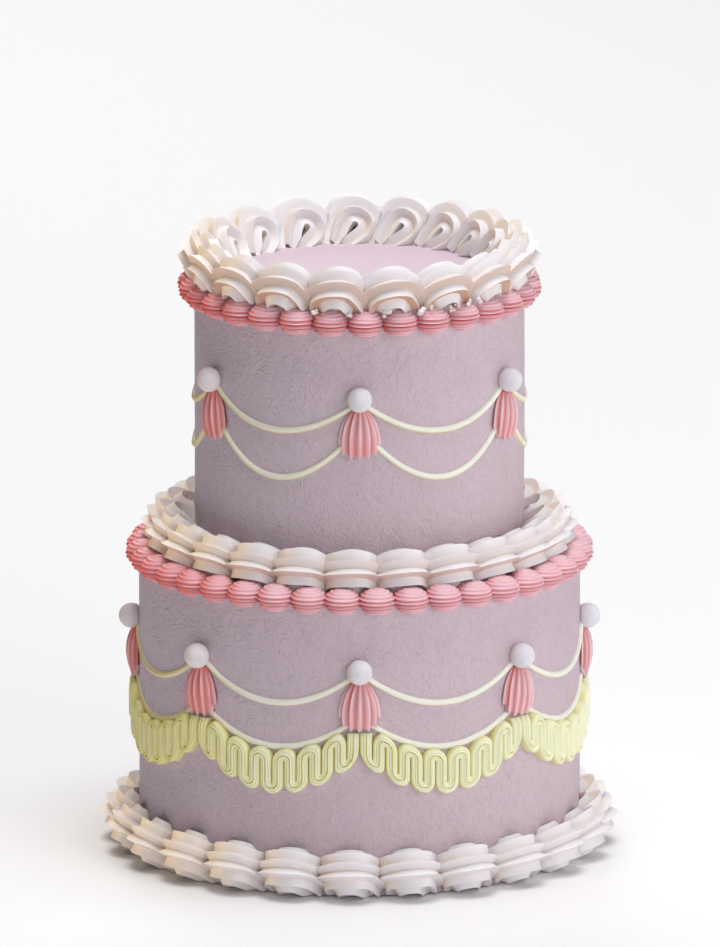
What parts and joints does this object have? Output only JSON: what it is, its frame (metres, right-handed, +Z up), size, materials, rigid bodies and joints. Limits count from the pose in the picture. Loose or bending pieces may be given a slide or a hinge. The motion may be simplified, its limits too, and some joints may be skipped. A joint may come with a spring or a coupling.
{
  "type": "tassel cake",
  "caption": "Tiered round celebration cake with piped loop borders, ball borders, hanging string swags, sugar pearls, tassels and a zigzag fringe.",
  "frame": {"origin": "centre of the cake's flat base, on the surface it stands on", "axes": "+Z up along the cake's axis; -Y is the front, where a pearl and tassel of each tier line up"},
  "size_m": [0.2364, 0.2364, 0.2878],
  "materials": {
    "lilac_icing": "smooth matt icing with fine wrinkles",
    "white_buttercream": "soft satin, piped",
    "pink_buttercream": "soft satin, piped",
    "pink_tassel": "soft satin, piped",
    "sugar_pearl": "matt, finely speckled",
    "cream_piping": "soft satin, piped",
    "lime_fringe": "soft satin, piped with fine ridges"
  },
  "bodies": {
    "root": {"lower_tier": "lilac_icing", "upper_tier": "lilac_icing", "bottom_white_border": "white_buttercream", "middle_white_border": "white_buttercream", "top_white_border": "white_buttercream", "lower_pink_border": "pink_buttercream", "upper_pink_border": "pink_buttercream", "upper_first_string": "cream_piping", "lower_first_string": "cream_piping", "upper_second_string_1": "cream_piping", "upper_second_string_2": "cream_piping", "upper_second_string_3": "cream_piping", "upper_second_string_4": "cream_piping", "upper_second_string_5": "cream_piping", "upper_second_string_6": "cream_piping", "lower_second_string_1": "cream_piping", "lower_second_string_2": "cream_piping", "lower_second_string_3": "cream_piping", "lower_second_string_4": "cream_piping", "lower_second_string_5": "cream_piping", "lower_second_string_6": "cream_piping", "lower_second_string_7": "cream_piping", "lower_second_string_8": "cream_piping", "upper_pearl_1": "sugar_pearl", "upper_pearl_2": "sugar_pearl", "upper_pearl_3": "sugar_pearl", "upper_pearl_4": "sugar_pearl", "upper_pearl_5": "sugar_pearl", "upper_pearl_6": "sugar_pearl", "lower_pearl_1": "sugar_pearl", "lower_pearl_2": "sugar_pearl", "lower_pearl_3": "sugar_pearl", "lower_pearl_4": "sugar_pearl", "lower_pearl_5": "sugar_pearl", "lower_pearl_6": "sugar_pearl", "lower_pearl_7": "sugar_pearl", "lower_pearl_8": "sugar_pearl", "upper_tassel_1": "pink_tassel", "upper_tassel_2": "pink_tassel", "upper_tassel_3": "pink_tassel", "upper_tassel_4": "pink_tassel", "upper_tassel_5": "pink_tassel", "upper_tassel_6": "pink_tassel", "lower_tassel_1": "pink_tassel", "lower_tassel_2": "pink_tassel", "lower_tassel_3": "pink_tassel", "lower_tassel_4": "pink_tassel", "lower_tassel_5": "pink_tassel", "lower_tassel_6": "pink_tassel", "lower_tassel_7": "pink_tassel", "lower_tassel_8": "pink_tassel", "fringe_1": "lime_fringe", "fringe_2": "lime_fringe", "fringe_3": "lime_fringe", "fringe_4": "lime_fringe", "fringe_5": "lime_fringe", "fringe_6": "lime_fringe", "fringe_7": "lime_fringe", "fringe_8": "lime_fringe"}
  },
  "joints": []
}
